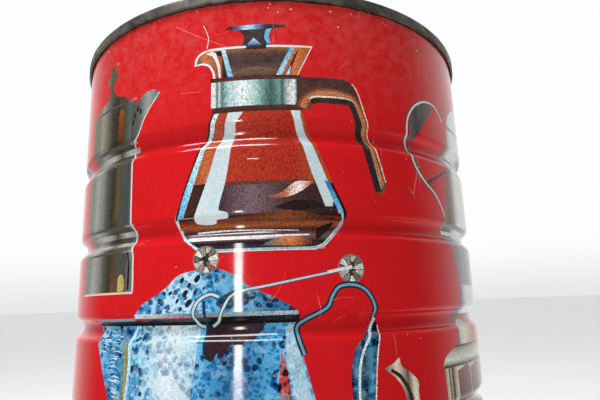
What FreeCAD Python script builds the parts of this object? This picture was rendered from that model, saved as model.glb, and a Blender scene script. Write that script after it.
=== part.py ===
import FreeCAD, Part
import math
import os

# A two-pound steel coffee can, trade size 502 x 608, standing on its bottom double seam.
# Millimetres. +Z is up, the origin is the centre of the footprint, the printed front faces -Y and
# the side seam runs up the back, at +Y. The top end has been opened round its countersink, so the
# mouth is open and only its seamed rim is left.

# ---- driving dimensions ---------------------------------------------------------------------
CAN_HEIGHT = 165.1
SEAM_DIAMETER = 130.18
BODY_PLATE = 0.25
END_PLATE = 0.28
PLY_GAP = 0.03

# double seam
SEAM_HEIGHT = 3.1
SEAM_SHOULDER_RADIUS = 0.54
BODY_HOOK_LENGTH = 1.9
COVER_HOOK_LENGTH = 2.1
COMPOUND_SPACE = 0.34
COMPOUND_THICKNESS = 0.26
COMPOUND_CLEARANCE = 0.02
COMPOUND_HALF_ARC = 35.0

# rolled bead grooves in the body
BEAD_COUNT = 5
BEAD_PITCH = 22.3
BEAD_WIDTH = 7.5
BEAD_DEPTH = 1.9
BEAD_SHOULDER_SHARE = 0.43

# can ends
OPENED_RIM_DEPTH = 4.1
CHUCK_WALL_LEAN = 3.0
COUNTERSINK_DEPTH = 4.8
COUNTERSINK_RADIUS = 0.8
PANEL_EDGE_RADIUS = 1.2
RING_RADII = (56.0, 47.0, 38.0)
RING_BEND_RADIUS = 1.3
RING_BEND_ANGLE = 35.0
RING_TOP_WIDTH = 2.0

# lapped and soldered side seam
LAP_WIDTH = 6.0
LAP_NOTCH = 4.6
SLIT_WIDTH = 0.3
SOLDER_FILM = 0.05
SEAM_AZIMUTH = 90.0

# a full turn is made of sectors and a tight bend of short arcs, so that every sheet keeps its
# thickness when meshed
TURN_SECTORS = 4
BEND_ARC = 30.0

# ---- derived dimensions ---------------------------------------------------------------------
seam_radius = SEAM_DIAMETER / 2
hook_ply_step = END_PLATE + PLY_GAP
body_radius = seam_radius - 2 * hook_ply_step - BODY_PLATE - PLY_GAP
mouth_radius = body_radius - BODY_PLATE - PLY_GAP - END_PLATE
body_hook_bend = (END_PLATE + 2 * PLY_GAP) / 2
cover_hook_bend = (2 * END_PLATE + BODY_PLATE + 2 * PLY_GAP) / 2
body_hook_top = END_PLATE + COMPOUND_SPACE
body_hook_bend_depth = body_hook_top + BODY_PLATE + body_hook_bend
bead_angle = 2 * math.degrees(math.atan(2 * BEAD_DEPTH / BEAD_WIDTH))
bead_radii_sum = BEAD_WIDTH / 2 / math.sin(math.radians(bead_angle))
bead_shoulder_radius = BEAD_SHOULDER_SHARE * bead_radii_sum
bead_root_radius = bead_radii_sum - bead_shoulder_radius


class StripPath:
    """The right-hand skin of a bent sheet, drawn in the (radius, height) half plane."""

    def __init__(self, radius, height, heading):
        self.radius = radius
        self.height = height
        self.heading = math.radians(heading)
        self.pieces = []

    def normal(self):
        """Unit vector to the left of the heading, where the sheet's thickness lies."""
        return -math.sin(self.heading), math.cos(self.heading)

    def line(self, length):
        start = (self.radius, self.height)
        normal = self.normal()
        self.radius += length * math.cos(self.heading)
        self.height += length * math.sin(self.heading)
        self.pieces.append(("line", start, (self.radius, self.height), normal))

    def arc(self, bend_radius, turn):
        """Bend by turn degrees, positive to the left. bend_radius is on the drawn skin."""
        side = math.copysign(1.0, turn)
        normal = self.normal()
        centre = (
            self.radius + side * bend_radius * normal[0],
            self.height + side * bend_radius * normal[1],
        )
        start_angle = math.atan2(self.height - centre[1], self.radius - centre[0])
        sweep = math.radians(turn)
        self.radius = centre[0] + bend_radius * math.cos(start_angle + sweep)
        self.height = centre[1] + bend_radius * math.sin(start_angle + sweep)
        self.heading += sweep
        self.pieces.append(("arc", centre, bend_radius, side, start_angle, sweep))

    def bend(self, bend_radius, turn):
        """A tight bend, as a row of equal short arcs."""
        count = math.ceil(abs(turn) / BEND_ARC)
        for _ in range(count):
            self.arc(bend_radius, turn / count)

    def offset_curve(self, piece, distance):
        """One piece of the path, moved to the left by distance: its edge and its two end points."""
        if piece[0] == "line":
            _, start, end, normal = piece
            ends = []
            for point in (start, end):
                moved = (point[0] + distance * normal[0], point[1] + distance * normal[1])
                ends.append(on_half_plane(*moved))
            return Part.LineSegment(*ends).toShape(), ends[0], ends[1]
        _, centre, bend_radius, side, start_angle, sweep = piece
        moved_radius = bend_radius - side * distance
        points = []
        for share in (0.0, 0.5, 1.0):
            angle = start_angle + share * sweep
            radius = centre[0] + moved_radius * math.cos(angle)
            height = centre[1] + moved_radius * math.sin(angle)
            points.append(on_half_plane(radius, height))
        return Part.Arc(*points).toShape(), points[0], points[2]

    def face(self, near, far):
        """The sheet's cross-section between two distances to the left of the path."""
        near_curves = [self.offset_curve(piece, near) for piece in self.pieces]
        far_curves = [self.offset_curve(piece, far) for piece in self.pieces]
        edges = [curve[0] for curve in near_curves]
        edges.append(Part.LineSegment(near_curves[-1][2], far_curves[-1][2]).toShape())
        edges += [curve[0] for curve in reversed(far_curves)]
        edges.append(Part.LineSegment(far_curves[0][1], near_curves[0][1]).toShape())
        return Part.Face(Part.Wire(Part.__sortEdges__(edges)))


def on_half_plane(radius, height):
    return FreeCAD.Vector(radius, 0, height)


def revolved(face, start_angle, sweep):
    """Turn a cross-section about the can's axis. Angles are measured from +X towards +Y."""
    origin = FreeCAD.Vector(0, 0, 0)
    axis = FreeCAD.Vector(0, 0, 1)
    turned = face.copy()
    turned.rotate(origin, axis, start_angle)
    return turned.revolve(origin, axis, sweep)


def full_turn(face):
    """A closed ring or disc, as sectors joined edge to edge."""
    sweep = 360.0 / TURN_SECTORS
    sectors = [revolved(face, index * sweep, sweep) for index in range(TURN_SECTORS)]
    return sectors[0].fuse(sectors[1:])


def turned_over(shape):
    """The same shape at the other end of the can."""
    flipped = shape.copy()
    flipped.rotate(FreeCAD.Vector(0, 0, CAN_HEIGHT / 2), FreeCAD.Vector(1, 0, 0), 180)
    return flipped


# ---- body -----------------------------------------------------------------------------------
def bead_centres():
    """Heights of the grooves, evenly spaced about mid height."""
    first = CAN_HEIGHT / 2 - BEAD_PITCH * (BEAD_COUNT - 1) / 2
    return [first + index * BEAD_PITCH for index in range(BEAD_COUNT)]


def draw_beaded_wall(path, top):
    """Climb the wall from the path's present height to top, rolling each groove on the way."""
    for centre in bead_centres():
        path.line(centre - BEAD_WIDTH / 2 - path.height)
        path.arc(bead_shoulder_radius, bead_angle)
        path.arc(bead_root_radius, -2 * bead_angle)
        path.arc(bead_shoulder_radius, bead_angle)
    path.line(top - path.height)


def body_wall_path():
    """The body's outside, from the tip of the lower hook to the tip of the upper hook."""
    hook_straight = BODY_HOOK_LENGTH - BODY_PLATE - body_hook_bend
    path = StripPath(
        body_radius + 2 * body_hook_bend,
        body_hook_top + BODY_HOOK_LENGTH,
        -90,
    )
    path.line(hook_straight)
    path.arc(body_hook_bend, -180)
    draw_beaded_wall(path, CAN_HEIGHT - body_hook_bend_depth)
    path.arc(body_hook_bend, -180)
    path.line(hook_straight)
    return path


def lap_path():
    """The body's outside between the notches that keep the lap out of the double seams."""
    path = StripPath(body_radius, LAP_NOTCH, 90)
    draw_beaded_wall(path, CAN_HEIGHT - LAP_NOTCH)
    return path


def degrees_round_body(length):
    return math.degrees(length / body_radius)


lap_inset = BODY_PLATE + SOLDER_FILM
slit_end = SEAM_AZIMUTH + degrees_round_body(SLIT_WIDTH)
lap_start = SEAM_AZIMUTH - degrees_round_body(LAP_WIDTH)


def make_can_body():
    """One beaded sheet, rolled round with its joggled edge tucked inside the other edge."""
    wall = revolved(body_wall_path().face(0, BODY_PLATE), slit_end, 360 - degrees_round_body(SLIT_WIDTH))
    lap_sweep = slit_end + degrees_round_body(BODY_PLATE) - lap_start
    tucked_edge = revolved(lap_path().face(lap_inset, lap_inset + BODY_PLATE), lap_start, lap_sweep)
    joggle = revolved(lap_path().face(0, lap_inset + BODY_PLATE), slit_end, degrees_round_body(BODY_PLATE))
    return wall.fuse([tucked_edge, joggle]).removeSplitter()


def make_side_seam_solder():
    """The film of solder between the lapped edges, and the line of it that fills the slit."""
    film = revolved(lap_path().face(BODY_PLATE, lap_inset), lap_start, slit_end - lap_start)
    filled_slit = revolved(
        lap_path().face(0, BODY_PLATE), SEAM_AZIMUTH, degrees_round_body(SLIT_WIDTH)
    )
    return film.fuse(filled_slit).removeSplitter()


# ---- can ends -------------------------------------------------------------------------------
def seamed_end_path(chuck_wall_lean):
    """An end's outside at the top of the can, from its cover hook's tip to its chuck wall.

    chuck_wall_lean is how many degrees the chuck wall leans in towards the axis as it goes down.
    """
    path = StripPath(
        seam_radius - 2 * cover_hook_bend,
        CAN_HEIGHT - SEAM_HEIGHT + COVER_HOOK_LENGTH,
        -90,
    )
    path.line(COVER_HOOK_LENGTH - cover_hook_bend)
    path.bend(cover_hook_bend, 180)
    path.line(SEAM_HEIGHT - cover_hook_bend - SEAM_SHOULDER_RADIUS)
    path.bend(SEAM_SHOULDER_RADIUS, 90)
    path.line(path.radius - mouth_radius - SEAM_SHOULDER_RADIUS)
    path.bend(SEAM_SHOULDER_RADIUS, 90 - chuck_wall_lean)
    return path


def draw_stiffening_ring(path, radius):
    """A low concentric ring pressed into the panel, its top centred on radius."""
    ring_half_width = RING_TOP_WIDTH / 2 + 2 * RING_BEND_RADIUS * math.sin(math.radians(RING_BEND_ANGLE))
    path.line(path.radius - radius - ring_half_width)
    path.arc(RING_BEND_RADIUS, RING_BEND_ANGLE)
    path.arc(RING_BEND_RADIUS, -RING_BEND_ANGLE)
    path.line(RING_TOP_WIDTH)
    path.arc(RING_BEND_RADIUS, -RING_BEND_ANGLE)
    path.arc(RING_BEND_RADIUS, RING_BEND_ANGLE)


def make_bottom_end():
    """The whole end, drawn at the top of the can and turned over to the bottom."""
    path = seamed_end_path(CHUCK_WALL_LEAN)
    path.line(COUNTERSINK_DEPTH - COUNTERSINK_RADIUS - SEAM_SHOULDER_RADIUS)
    path.bend(COUNTERSINK_RADIUS, CHUCK_WALL_LEAN - 180)
    path.bend(PANEL_EDGE_RADIUS, 90)
    for radius in RING_RADII:
        draw_stiffening_ring(path, radius)
    path.line(path.radius)
    return turned_over(full_turn(path.face(0, END_PLATE)))


def make_top_end_rim():
    """What the can opener leaves of the top end: the seam and the stub of its chuck wall."""
    path = seamed_end_path(0)
    path.line(OPENED_RIM_DEPTH - SEAM_SHOULDER_RADIUS)
    return full_turn(path.face(0, END_PLATE))


def make_top_seam_compound():
    """The ring of sealing compound pressed flat between the body hook and the seaming panel."""
    lead_in = 90 - COMPOUND_HALF_ARC
    path = StripPath(body_radius, CAN_HEIGHT - body_hook_bend_depth, 90)
    path.arc(body_hook_bend, -lead_in)
    path.pieces.clear()
    path.bend(body_hook_bend, -2 * COMPOUND_HALF_ARC)
    inner_skin = BODY_PLATE + COMPOUND_CLEARANCE
    return full_turn(path.face(inner_skin, inner_skin + COMPOUND_THICKNESS))


# ---- write the pieces -----------------------------------------------------------------------
top_seam_compound = make_top_seam_compound()
pieces = {
    "can_body": make_can_body(),
    "side_seam_solder": make_side_seam_solder(),
    "bottom_end": make_bottom_end(),
    "top_end_rim": make_top_end_rim(),
    "bottom_seam_compound": turned_over(top_seam_compound),
    "top_seam_compound": top_seam_compound,
}

os.makedirs("parts", exist_ok=True)
for name, shape in pieces.items():
    solid = shape.Solids[0]
    if not solid.isValid() or len(shape.Solids) != 1:
        raise ValueError(name + " is not one valid solid")
    solid.exportStep("parts/" + name + ".step")
    box = solid.BoundBox
    print(name, "volume", round(solid.Volume, 1), "radius", round(box.XMax, 3), round(box.YMax, 3),
          "height", round(box.ZMin, 3), round(box.ZMax, 3))
print("seam", round(seam_radius, 3), "body", round(body_radius, 3), "mouth", round(mouth_radius, 3))
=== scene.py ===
import math
import random

import bmesh
import bpy
import numpy as np
from mathutils import Euler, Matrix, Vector
from mathutils.geometry import delaunay_2d_cdt


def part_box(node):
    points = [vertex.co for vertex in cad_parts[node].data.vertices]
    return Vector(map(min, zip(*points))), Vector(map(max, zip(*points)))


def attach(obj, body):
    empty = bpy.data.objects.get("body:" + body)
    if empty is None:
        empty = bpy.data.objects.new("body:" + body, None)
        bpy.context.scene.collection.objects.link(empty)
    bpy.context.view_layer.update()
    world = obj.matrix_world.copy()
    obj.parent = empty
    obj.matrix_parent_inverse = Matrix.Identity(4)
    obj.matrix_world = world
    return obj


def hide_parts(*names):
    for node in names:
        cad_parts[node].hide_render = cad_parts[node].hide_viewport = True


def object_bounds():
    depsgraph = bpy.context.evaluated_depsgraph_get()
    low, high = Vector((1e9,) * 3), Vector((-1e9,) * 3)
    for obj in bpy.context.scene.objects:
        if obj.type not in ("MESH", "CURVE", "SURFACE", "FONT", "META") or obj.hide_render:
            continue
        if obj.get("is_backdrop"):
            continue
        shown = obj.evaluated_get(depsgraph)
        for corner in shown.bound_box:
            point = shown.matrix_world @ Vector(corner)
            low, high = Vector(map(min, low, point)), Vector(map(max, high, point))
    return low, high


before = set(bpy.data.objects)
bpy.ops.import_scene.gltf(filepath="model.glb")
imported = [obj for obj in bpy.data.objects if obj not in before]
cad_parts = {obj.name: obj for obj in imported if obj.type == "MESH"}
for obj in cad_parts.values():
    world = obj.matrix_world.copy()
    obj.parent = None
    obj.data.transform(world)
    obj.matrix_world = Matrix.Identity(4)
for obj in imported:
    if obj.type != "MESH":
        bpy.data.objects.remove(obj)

# The looks of a printed steel coffee can. The print is drawn in label millimetres: u runs round
# the body to the viewer's right from the middle of the front, z is the height above the floor.
MM = 0.001
CAD_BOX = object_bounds()

# ---- sizes, from the frame -------------------------------------------------------------------
END_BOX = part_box("bottom_end")
SEAM_RADIUS = (END_BOX[1][0] - END_BOX[0][0]) / 2 / MM
CAN_HEIGHT = CAD_BOX[1][2] / MM
RIM_DEPTH = CAN_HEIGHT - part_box("top_end_rim")[0][2] / MM
LAP_LOW, LAP_HIGH = (corner[2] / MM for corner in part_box("side_seam_solder"))

# the same sheet and seam sizes as in the part's source, in millimetres
PLATE = 0.25
END_PLATE = 0.28
PLY_GAP = 0.03
SEAM_HEIGHT = 3.1
SEAM_SHOULDER = 0.54
HOOK_LENGTH = 1.9
HOOK_TOP = 0.62
BODY_RADIUS = SEAM_RADIUS - 2 * (END_PLATE + PLY_GAP) - PLATE - PLY_GAP
MOUTH_RADIUS = BODY_RADIUS - PLATE - PLY_GAP - END_PLATE
BODY_BEND = (END_PLATE + 2 * PLY_GAP) / 2
COVER_BEND = (2 * END_PLATE + PLATE + 2 * PLY_GAP) / 2
COVER_HOOK = 2.1
HALF_ROUND = math.pi * BODY_RADIUS

BEAD_COUNT = 5
BEAD_PITCH = 22.3
BEAD_WIDTH = 7.5
BEAD_DEPTH = 1.9
BEAD_ANGLE = 2 * math.atan(2 * BEAD_DEPTH / BEAD_WIDTH)
BEAD_ARCS = BEAD_WIDTH / 2 / math.sin(BEAD_ANGLE)
SHOULDER_ARC = 0.43 * BEAD_ARCS
ROOT_ARC = BEAD_ARCS - SHOULDER_ARC
BEAD_CENTRES = [CAN_HEIGHT / 2 + BEAD_PITCH * (i - (BEAD_COUNT - 1) / 2) for i in range(BEAD_COUNT)]

CHUCK_LEAN = 3
COUNTERSINK_DEPTH = 4.8
COUNTERSINK_RADIUS = 0.8
PANEL_EDGE_RADIUS = 1.2
RING_RADII = (56, 47, 38)
RING_BEND = 1.3
RING_ANGLE = 35
RING_TOP = 2
LAP_WIDTH = 6.0
LAP_GAP = 0.04
SOLDER_HALF_WIDTH = 1.2
SOLDER_DEPTH = 0.2
# knocks reach the seams' outermost band, and the opener's cut is a little ragged
KNOCKED_BAND = 0.35
CUT_BAND = 0.2
CUT_LIFT = 0.12
CUT_RAGGED = 0.175

# the print stops short of the hooks and the side seam, and lies just over the sheet under it
FILM_LOW = 2.3
FILM_INSET = 0.05
FILM_SLIT = 0.3
MARGIN = 5.0

# fineness of the meshes
ROUND_STEPS = 240
ROUND_STEP = 2 * HALF_ROUND / ROUND_STEPS
SHEET_STEPS = 180
BEND_STEPS = 4
HOOK_STEPS = 8
WALL_STEP = 3.5


# ---- the body's surface ----------------------------------------------------------------------
# Shallow knocks on the body: u, z, radius and depth.
DENTS = ((-112, 42, 11, 0.7), (96, 24, 8, 0.6), (163, 142, 9, 0.5), (-160, 118, 7, 0.4), (34, 18, 9, 0.45))
DENT_FALL = 2.5
# Slow waves of the rolled sheet: height, waves round the can, and the climb that turns them.
WAVES = ((0.035, 6, 31), (0.02, 13, -17))
# The waves and dents die out towards the stiff seams, over FADE, from FLAT away from them.
FLAT = 4
FADE = 12
NORMAL_STEP = 0.02


def wall_depth(z):
    """How far the rolled grooves take the wall in at height z."""
    depth = np.zeros_like(z)
    for centre in BEAD_CENTRES:
        from_centre = np.abs(z - centre)
        from_edge = np.clip(BEAD_WIDTH / 2 - from_centre, 0, None)
        shoulder = SHOULDER_ARC - np.sqrt(np.maximum(SHOULDER_ARC**2 - from_edge**2, 0))
        root = BEAD_DEPTH - ROOT_ARC + np.sqrt(np.maximum(ROOT_ARC**2 - from_centre**2, 0))
        on_root = from_centre < ROOT_ARC * math.sin(BEAD_ANGLE)
        groove = np.where(on_root, root, shoulder)
        depth += np.where(from_centre < BEAD_WIDTH / 2, groove, 0)
    return depth


def knocks(u, z):
    """Slow unevenness of the rolled sheet, and the dents."""
    wave = sum(height * np.sin(count * u / BODY_RADIUS + z / climb) for height, count, climb in WAVES)
    fade = np.clip((z - FLAT) / FADE, 0, 1) * np.clip((CAN_HEIGHT - FLAT - z) / FADE, 0, 1)
    dents = np.zeros_like(u)
    for dent_u, dent_z, radius, depth in DENTS:
        round_way = (u - dent_u + HALF_ROUND) % (2 * HALF_ROUND) - HALF_ROUND
        away = (round_way**2 + (z - dent_z) ** 2) / radius**2
        dents += depth * np.exp(-DENT_FALL * away)
    return (wave + dents) * fade


def on_body(u, z):
    """Points of the body's outside, in millimetres, for arrays of label positions."""
    radius = BODY_RADIUS - wall_depth(z) - knocks(u, z)
    angle = u / BODY_RADIUS - math.pi / 2
    return np.stack([radius * np.cos(angle), radius * np.sin(angle), z], -1)


def body_normals(u, z):
    """The outward normals of the body's outside, from points a small step apart."""
    round_way = on_body(u + NORMAL_STEP, z) - on_body(u - NORMAL_STEP, z)
    up_way = on_body(u, z + NORMAL_STEP) - on_body(u, z - NORMAL_STEP)
    normals = np.cross(round_way, up_way)
    return normals / np.linalg.norm(normals, axis=-1, keepdims=True)


def wall_heights(low, high):
    """Heights of the wall's rows: even turns of the surface in the grooves, wider rows between."""
    turns = [BEAD_ANGLE * i / BEND_STEPS for i in range(BEND_STEPS + 1)]
    heights = [low, high]
    for centre in BEAD_CENTRES:
        for turn in turns:
            from_edge = SHOULDER_ARC * math.sin(turn)
            heights += [centre - BEAD_WIDTH / 2 + from_edge, centre + BEAD_WIDTH / 2 - from_edge]
            from_centre = ROOT_ARC * math.sin(turn)
            heights += [centre - from_centre, centre + from_centre]
    heights = sorted(set(round(z, 4) for z in heights if low <= z <= high))
    filled = [heights[0]]
    for z in heights[1:]:
        parts = max(1, math.ceil((z - filled[-1]) / WALL_STEP))
        start = filled[-1]
        filled += [start + (z - start) * (i + 1) / parts for i in range(parts)]
    return filled


# ---- colours ---------------------------------------------------------------------------------
def ink(red, green, blue):
    """An sRGB colour, 0 to 255, as linear numbers."""
    values = np.array([red, green, blue]) / 255
    return np.where(values <= 0.04045, values / 12.92, ((values + 0.055) / 1.055) ** 2.4)


RED = (200, 24, 29)
CREAM = (226, 214, 186)
WHITE = (214, 224, 226)
ICE = (176, 208, 222)
GLASS = (200, 212, 212)
SKY = (92, 172, 214)
BLUE = (42, 110, 156)
NAVY = (26, 52, 78)
TEAL = (58, 104, 104)
BLACK = (26, 22, 24)
UMBER = (62, 36, 28)
COFFEE = (66, 46, 50)
RUST = (160, 74, 40)
AMBER = (196, 112, 62)
GOLD = (176, 158, 96)
OLIVE = (74, 72, 54)
STEEL = (168, 170, 168)


def solid(colour):
    """One colour all over."""
    value = ink(*colour)
    return lambda u, z: np.broadcast_to(value, u.shape + (3,))


def blend_along(way, stops):
    """A run of colours, each given with the place along u or z where it is pure."""
    places = [stop[0] for stop in stops]
    values = np.array([ink(*stop[1]) for stop in stops])

    def paint(u, z):
        along = u if way == "u" else z
        return np.stack([np.interp(along, places, values[:, c]) for c in range(3)], -1)

    # the mesh gets an edge at each place, so that the blend is right between them
    paint.cuts = (way, places)
    return paint


def across(*stops):
    """Colours that change with u."""
    return blend_along("u", stops)


def upward(*stops):
    """Colours that change with height."""
    return blend_along("z", stops)


# ---- outlines, in label millimetres -----------------------------------------------------------
def curve(*points, closed=False, steps=6):
    """A smooth line through a few points (Catmull-Rom)."""
    line = [Vector(point) for point in points]
    if closed:
        line = [line[-1]] + line + line[:2]
    else:
        line = [2 * line[0] - line[1]] + line + [2 * line[-1] - line[-2]]
    smooth = []
    for a, b, c, d in zip(line, line[1:], line[2:], line[3:]):
        for i in range(steps):
            t = i / steps
            point = 2 * b + t * (c - a) + t * t * (2 * a - 5 * b + 4 * c - d)
            smooth.append((point + t**3 * (3 * b - 3 * c + d - a)) / 2)
    if not closed:
        smooth.append(line[-2])
    return [tuple(point) for point in smooth]


def turned(u, z, a, b, angle):
    """The point a along and b across a direction at an angle, from (u, z)."""
    return (u + a * math.cos(angle) - b * math.sin(angle), z + a * math.sin(angle) + b * math.cos(angle))


def oval(u, z, half_width, half_height=None, sides=20, tilt=0.0):
    """An ellipse, or a circle where only one half width is given."""
    half_height = half_height or half_width
    angles = [2 * math.pi * i / sides for i in range(sides)]
    return [turned(u, z, half_width * math.cos(a), half_height * math.sin(a), tilt) for a in angles]


def stroke(points, width, end_width=None, smooth=True, middle=None):
    """The outline of a pen line through the points, tapering from width to end_width."""
    end_width = width if end_width is None else end_width
    line = [Vector(p) for p in (curve(*points) if smooth else points)]
    left, right = [], []
    for i, point in enumerate(line):
        before = line[max(i - 1, 0)]
        after = line[min(i + 1, len(line) - 1)]
        along = (after - before).normalized()
        share = i / (len(line) - 1)
        here = width + (end_width - width) * share
        if middle is not None:
            here += (middle - (width + end_width) / 2) * math.sin(math.pi * share)
        side = Vector((-along.y, along.x)) * here / 2
        left.append(tuple(point + side))
        right.append(tuple(point - side))
    return left + right[::-1]


def box(u0, z0, u1, z1):
    """A rectangle between two corners."""
    return [(u0, z0), (u1, z0), (u1, z1), (u0, z1)]


# ---- the print: an ordered stack of painted shapes ---------------------------------------------
# Effects are how much photo grain, enamel mottling and brushed metal the varnish shader adds.
GRAIN = (1.0, 0.0, 0.0)
ENAMEL = (0.35, 1.0, 0.0)
PALE_ENAMEL = (0.4, 0.5, 0.0)
THIN_ENAMEL = (0.4, 0.25, 0.0)
BRUSHED = (0.5, 0.0, 1.0)
PLAIN = (0.3, 0.0, 0.0)
SOFT = (0.6, 0.0, 0.35)
BARE = (0.0, 0.0, 0.0)
GROUND = (0.22, 0.0, 0.0)
layers = []
# Wear goes this far round to each side.
WEAR_REACH = 196


class Place:
    """Where a drawing is put: moved round and up the body, and turned left to right if mirrored."""

    def __init__(self, u=0.0, z=0.0, mirrored=False, size=1.0):
        self.u = u
        self.z = z
        self.side = -1.0 if mirrored else 1.0
        self.size = size

    def add(self, outline, paint, effect=GRAIN):
        """Put a shape on top of the print: a plain colour or a blend, and how the shader treats it."""
        if not callable(paint):
            paint = solid(paint)
        placed = [(self.u + self.side * self.size * u, self.z + self.size * z) for u, z in outline]

        def placed_paint(u, z):
            return paint((u - self.u) * self.side / self.size, (z - self.z) / self.size)

        way, stops = getattr(paint, "cuts", ("u", []))
        start, scale = (self.u, self.side * self.size) if way == "u" else (self.z, self.size)
        cuts = [(way, start + scale * stop) for stop in stops]
        layers.append((placed, placed_paint, effect, cuts))


def draw_carafe_lid(at):
    """The turned knob and the glass funnel that it stands in."""
    # knob
    at.add(curve((-8.9, 154.4), (-7.3, 152.6), (-7.6, 150.6), (-9, 149.6)) + [(-0.6, 149.6)]
        + curve((-1.2, 151), (-1.1, 152.8), (0.4, 154.4)), (44, 38, 44))
    at.add(curve((-1.6, 150.2), (-2.3, 152.2), (-1.6, 154.2), (-0.4, 154.3), (-1.2, 152.4),
        (-0.7, 150.2)), SKY)
    at.add([(-6.7, 149.9), (-4.9, 151.9), (-3, 149.9)], upward((150, BLUE), (151.9, ICE)))
    at.add([(-11.9, 154.5), (-11.5, 155.3), (-2, 155.6), (3, 155.3), (3.1, 154.6), (-1, 154.3),
        (-8, 154.2)], across((-10.6, BLACK), (-8.6, BLUE), (-6.8, ICE), (-4.6, SKY), (-2.4, NAVY),
        (-1.2, BLACK)))
    # funnel
    at.add(curve((-20.1, 145.8), (-19.8, 147.6), (-18.3, 149.2), (-15.8, 149.9))
        + [(9.7, 149.75), (5.4, 141), (-15, 141)] + curve((-15.3, 143.4), (-16.4, 145.2), (-18.2, 145.9)),
        WHITE, PLAIN)
    at.add(curve((-19.6, 146.2), (-18.8, 148.2), (-16.8, 149.3))
        + [(-12, 149.2), (-12.6, 141), (-14.4, 141)]
        + curve((-14.7, 143.2), (-15.7, 145.3), (-17.4, 146.3)), across((-19.5, UMBER), (-17.5, AMBER),
        (-14, RUST)))
    at.add(curve((-17, 148.6), (-15.2, 147.6), (-14, 144.6), (-13.6, 141.2)) + [(-13.2, 141.2)]
        + curve((-13.3, 145), (-14.4, 148.4), (-15.6, 149.2)), WHITE)
    at.add([(-14.5, 148.9), (-12.2, 149.1), (-12.4, 147.6), (-14.1, 147.7)], BLACK)
    at.add([(-12.9, 147.6), (-12.2, 147.6), (-10.6, 141), (-12.7, 141)], BLACK)
    at.add([(4.6, 149.2), (9.2, 149.3), (5.2, 141), (1, 141)], across((1.5, RUST), (5, AMBER), (9, RUST)))
    at.add([(-12.6, 149.3), (5, 149.2), (1.5, 141), (-10.8, 141)],
        upward((141, COFFEE), (143.2, (92, 72, 66)), (145.4, (58, 46, 46)), (147.6, (70, 52, 46)),
        (149, (128, 78, 48))))
    at.add(oval(-4.6, 142.3, 5.4, 1.7), upward((140.8, UMBER), (143.6, (110, 84, 72))))
    at.add(box(-6.8, 148.8, -1.8, 149.9), upward((148.9, BLACK), (149.7, (28, 42, 56))))
    at.add([(-13.1, 149.2), (-12, 149.2), (-9.9, 141.2), (-11.2, 141.2)], upward((141, SKY), (149, ICE)))
    at.add([(4, 149.2), (5.1, 149.2), (1.6, 141.4), (0.3, 141.4)], upward((141, ICE), (149, SKY)))
    at.add([(5.4, 147.8), (6.1, 148.6), (3.4, 141.2), (2.2, 141.2)], BLACK)
    at.add([(4.2, 144.6), (3.6, 141.3), (2.4, 141.3)], ICE)


def draw_carafe_glass(at):
    """The half full glass, with its long highlights."""
    bulb = [(-14.9, 133), (-21.8, 115.6)] + curve((-24.3, 109), (-25, 106.6), (-24.2, 104.4))
    bulb += curve((-19.4, 100.2), (-17.4, 99.2)) + curve((8.4, 99.2), (10.6, 99.9))
    bulb += curve((15.6, 104.8), (16.3, 106.6), (15.7, 108.4)) + [(12.8, 115), (6.1, 133)]
    at.add(bulb, GLASS, PLAIN)
    at.add([(-14.4, 133), (-21.4, 115.4), (12.2, 115.4), (5.6, 133)], across((-21, (126, 62, 38)),
        (-17, (176, 98, 60)), (-12, (168, 54, 36)), (4, (166, 44, 30)), (11, (150, 82, 48))))
    at.add([(-21.3, 115.4), (-24.3, 107.6), (15.7, 107.4), (12.4, 115.4)], across((-23, (72, 40, 30)),
        (-16, (44, 32, 34)), (-13, COFFEE), (-6, (112, 92, 98)), (2, (70, 50, 54)), (12, (52, 34, 32))))
    at.add([(-14.5, 115.5), (10.4, 115.5), (10.4, 114.5), (-14.5, 114.6)], (98, 58, 44))
    at.add(curve((8.8, 115.2), (5.6, 112.8), (2, 111.4), (-3.4, 111.4), (0.6, 112.4), (3.6, 114.6),
        (5, 115.2)), across((-3, (96, 64, 56)), (2, (180, 106, 72)), (5, (236, 222, 214)),
        (8, (190, 96, 56))))
    at.add(curve((-1, 109), (4, 110.6), (9, 110.4), (10.6, 109), (5, 108.2)), (40, 26, 26))
    at.add([(-14.6, 133), (-15.9, 130.5), (-18, 124), (-21.7, 115.2), (-24.1, 107.4), (-22.9, 106.6),
        (-19.9, 115.2), (-16.4, 126), (-13.4, 133)], across((-23, SKY), (-19, ICE), (-14, WHITE)))
    at.add(stroke([(-14.9, 133), (-21.9, 115.4), (-24.6, 107.2)], 0.5, smooth=False), UMBER)
    at.add([(-11.2, 133), (-7.4, 133)] + curve((-9.7, 129.6), (-10.6, 124), (-11.9, 116), (-13.6, 109.4),
        (-12.7, 107.8), (-11.6, 106.6), (-15, 106.2), (-19.7, 106.6), (-19.2, 109), (-16.6, 116),
        (-13.6, 125.6)), across((-19.5, GLASS), (-15, (186, 206, 212)), (-9, GLASS)), PLAIN)
    at.add([(3.6, 133), (6, 133), (13.4, 111.2), (12.9, 109.2), (11.2, 109.2), (8.2, 117.4)],
        across((4, GLASS), (9, (186, 206, 212)), (13, GLASS)), PLAIN)
    at.add([(6.1, 133), (6.7, 131.4), (14.9, 110.4), (13.7, 111), (6, 131)], RUST)
    at.add([(11.2, 115.4), (12.8, 115), (16.1, 107.6), (15, 106), (13.9, 109)],
        upward((106, ICE), (110, SKY), (115, BLUE)))
    at.add(stroke([(12.9, 114.8), (16, 107.8), (15.8, 106)], 0.6, 0.9), BLACK)


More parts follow.
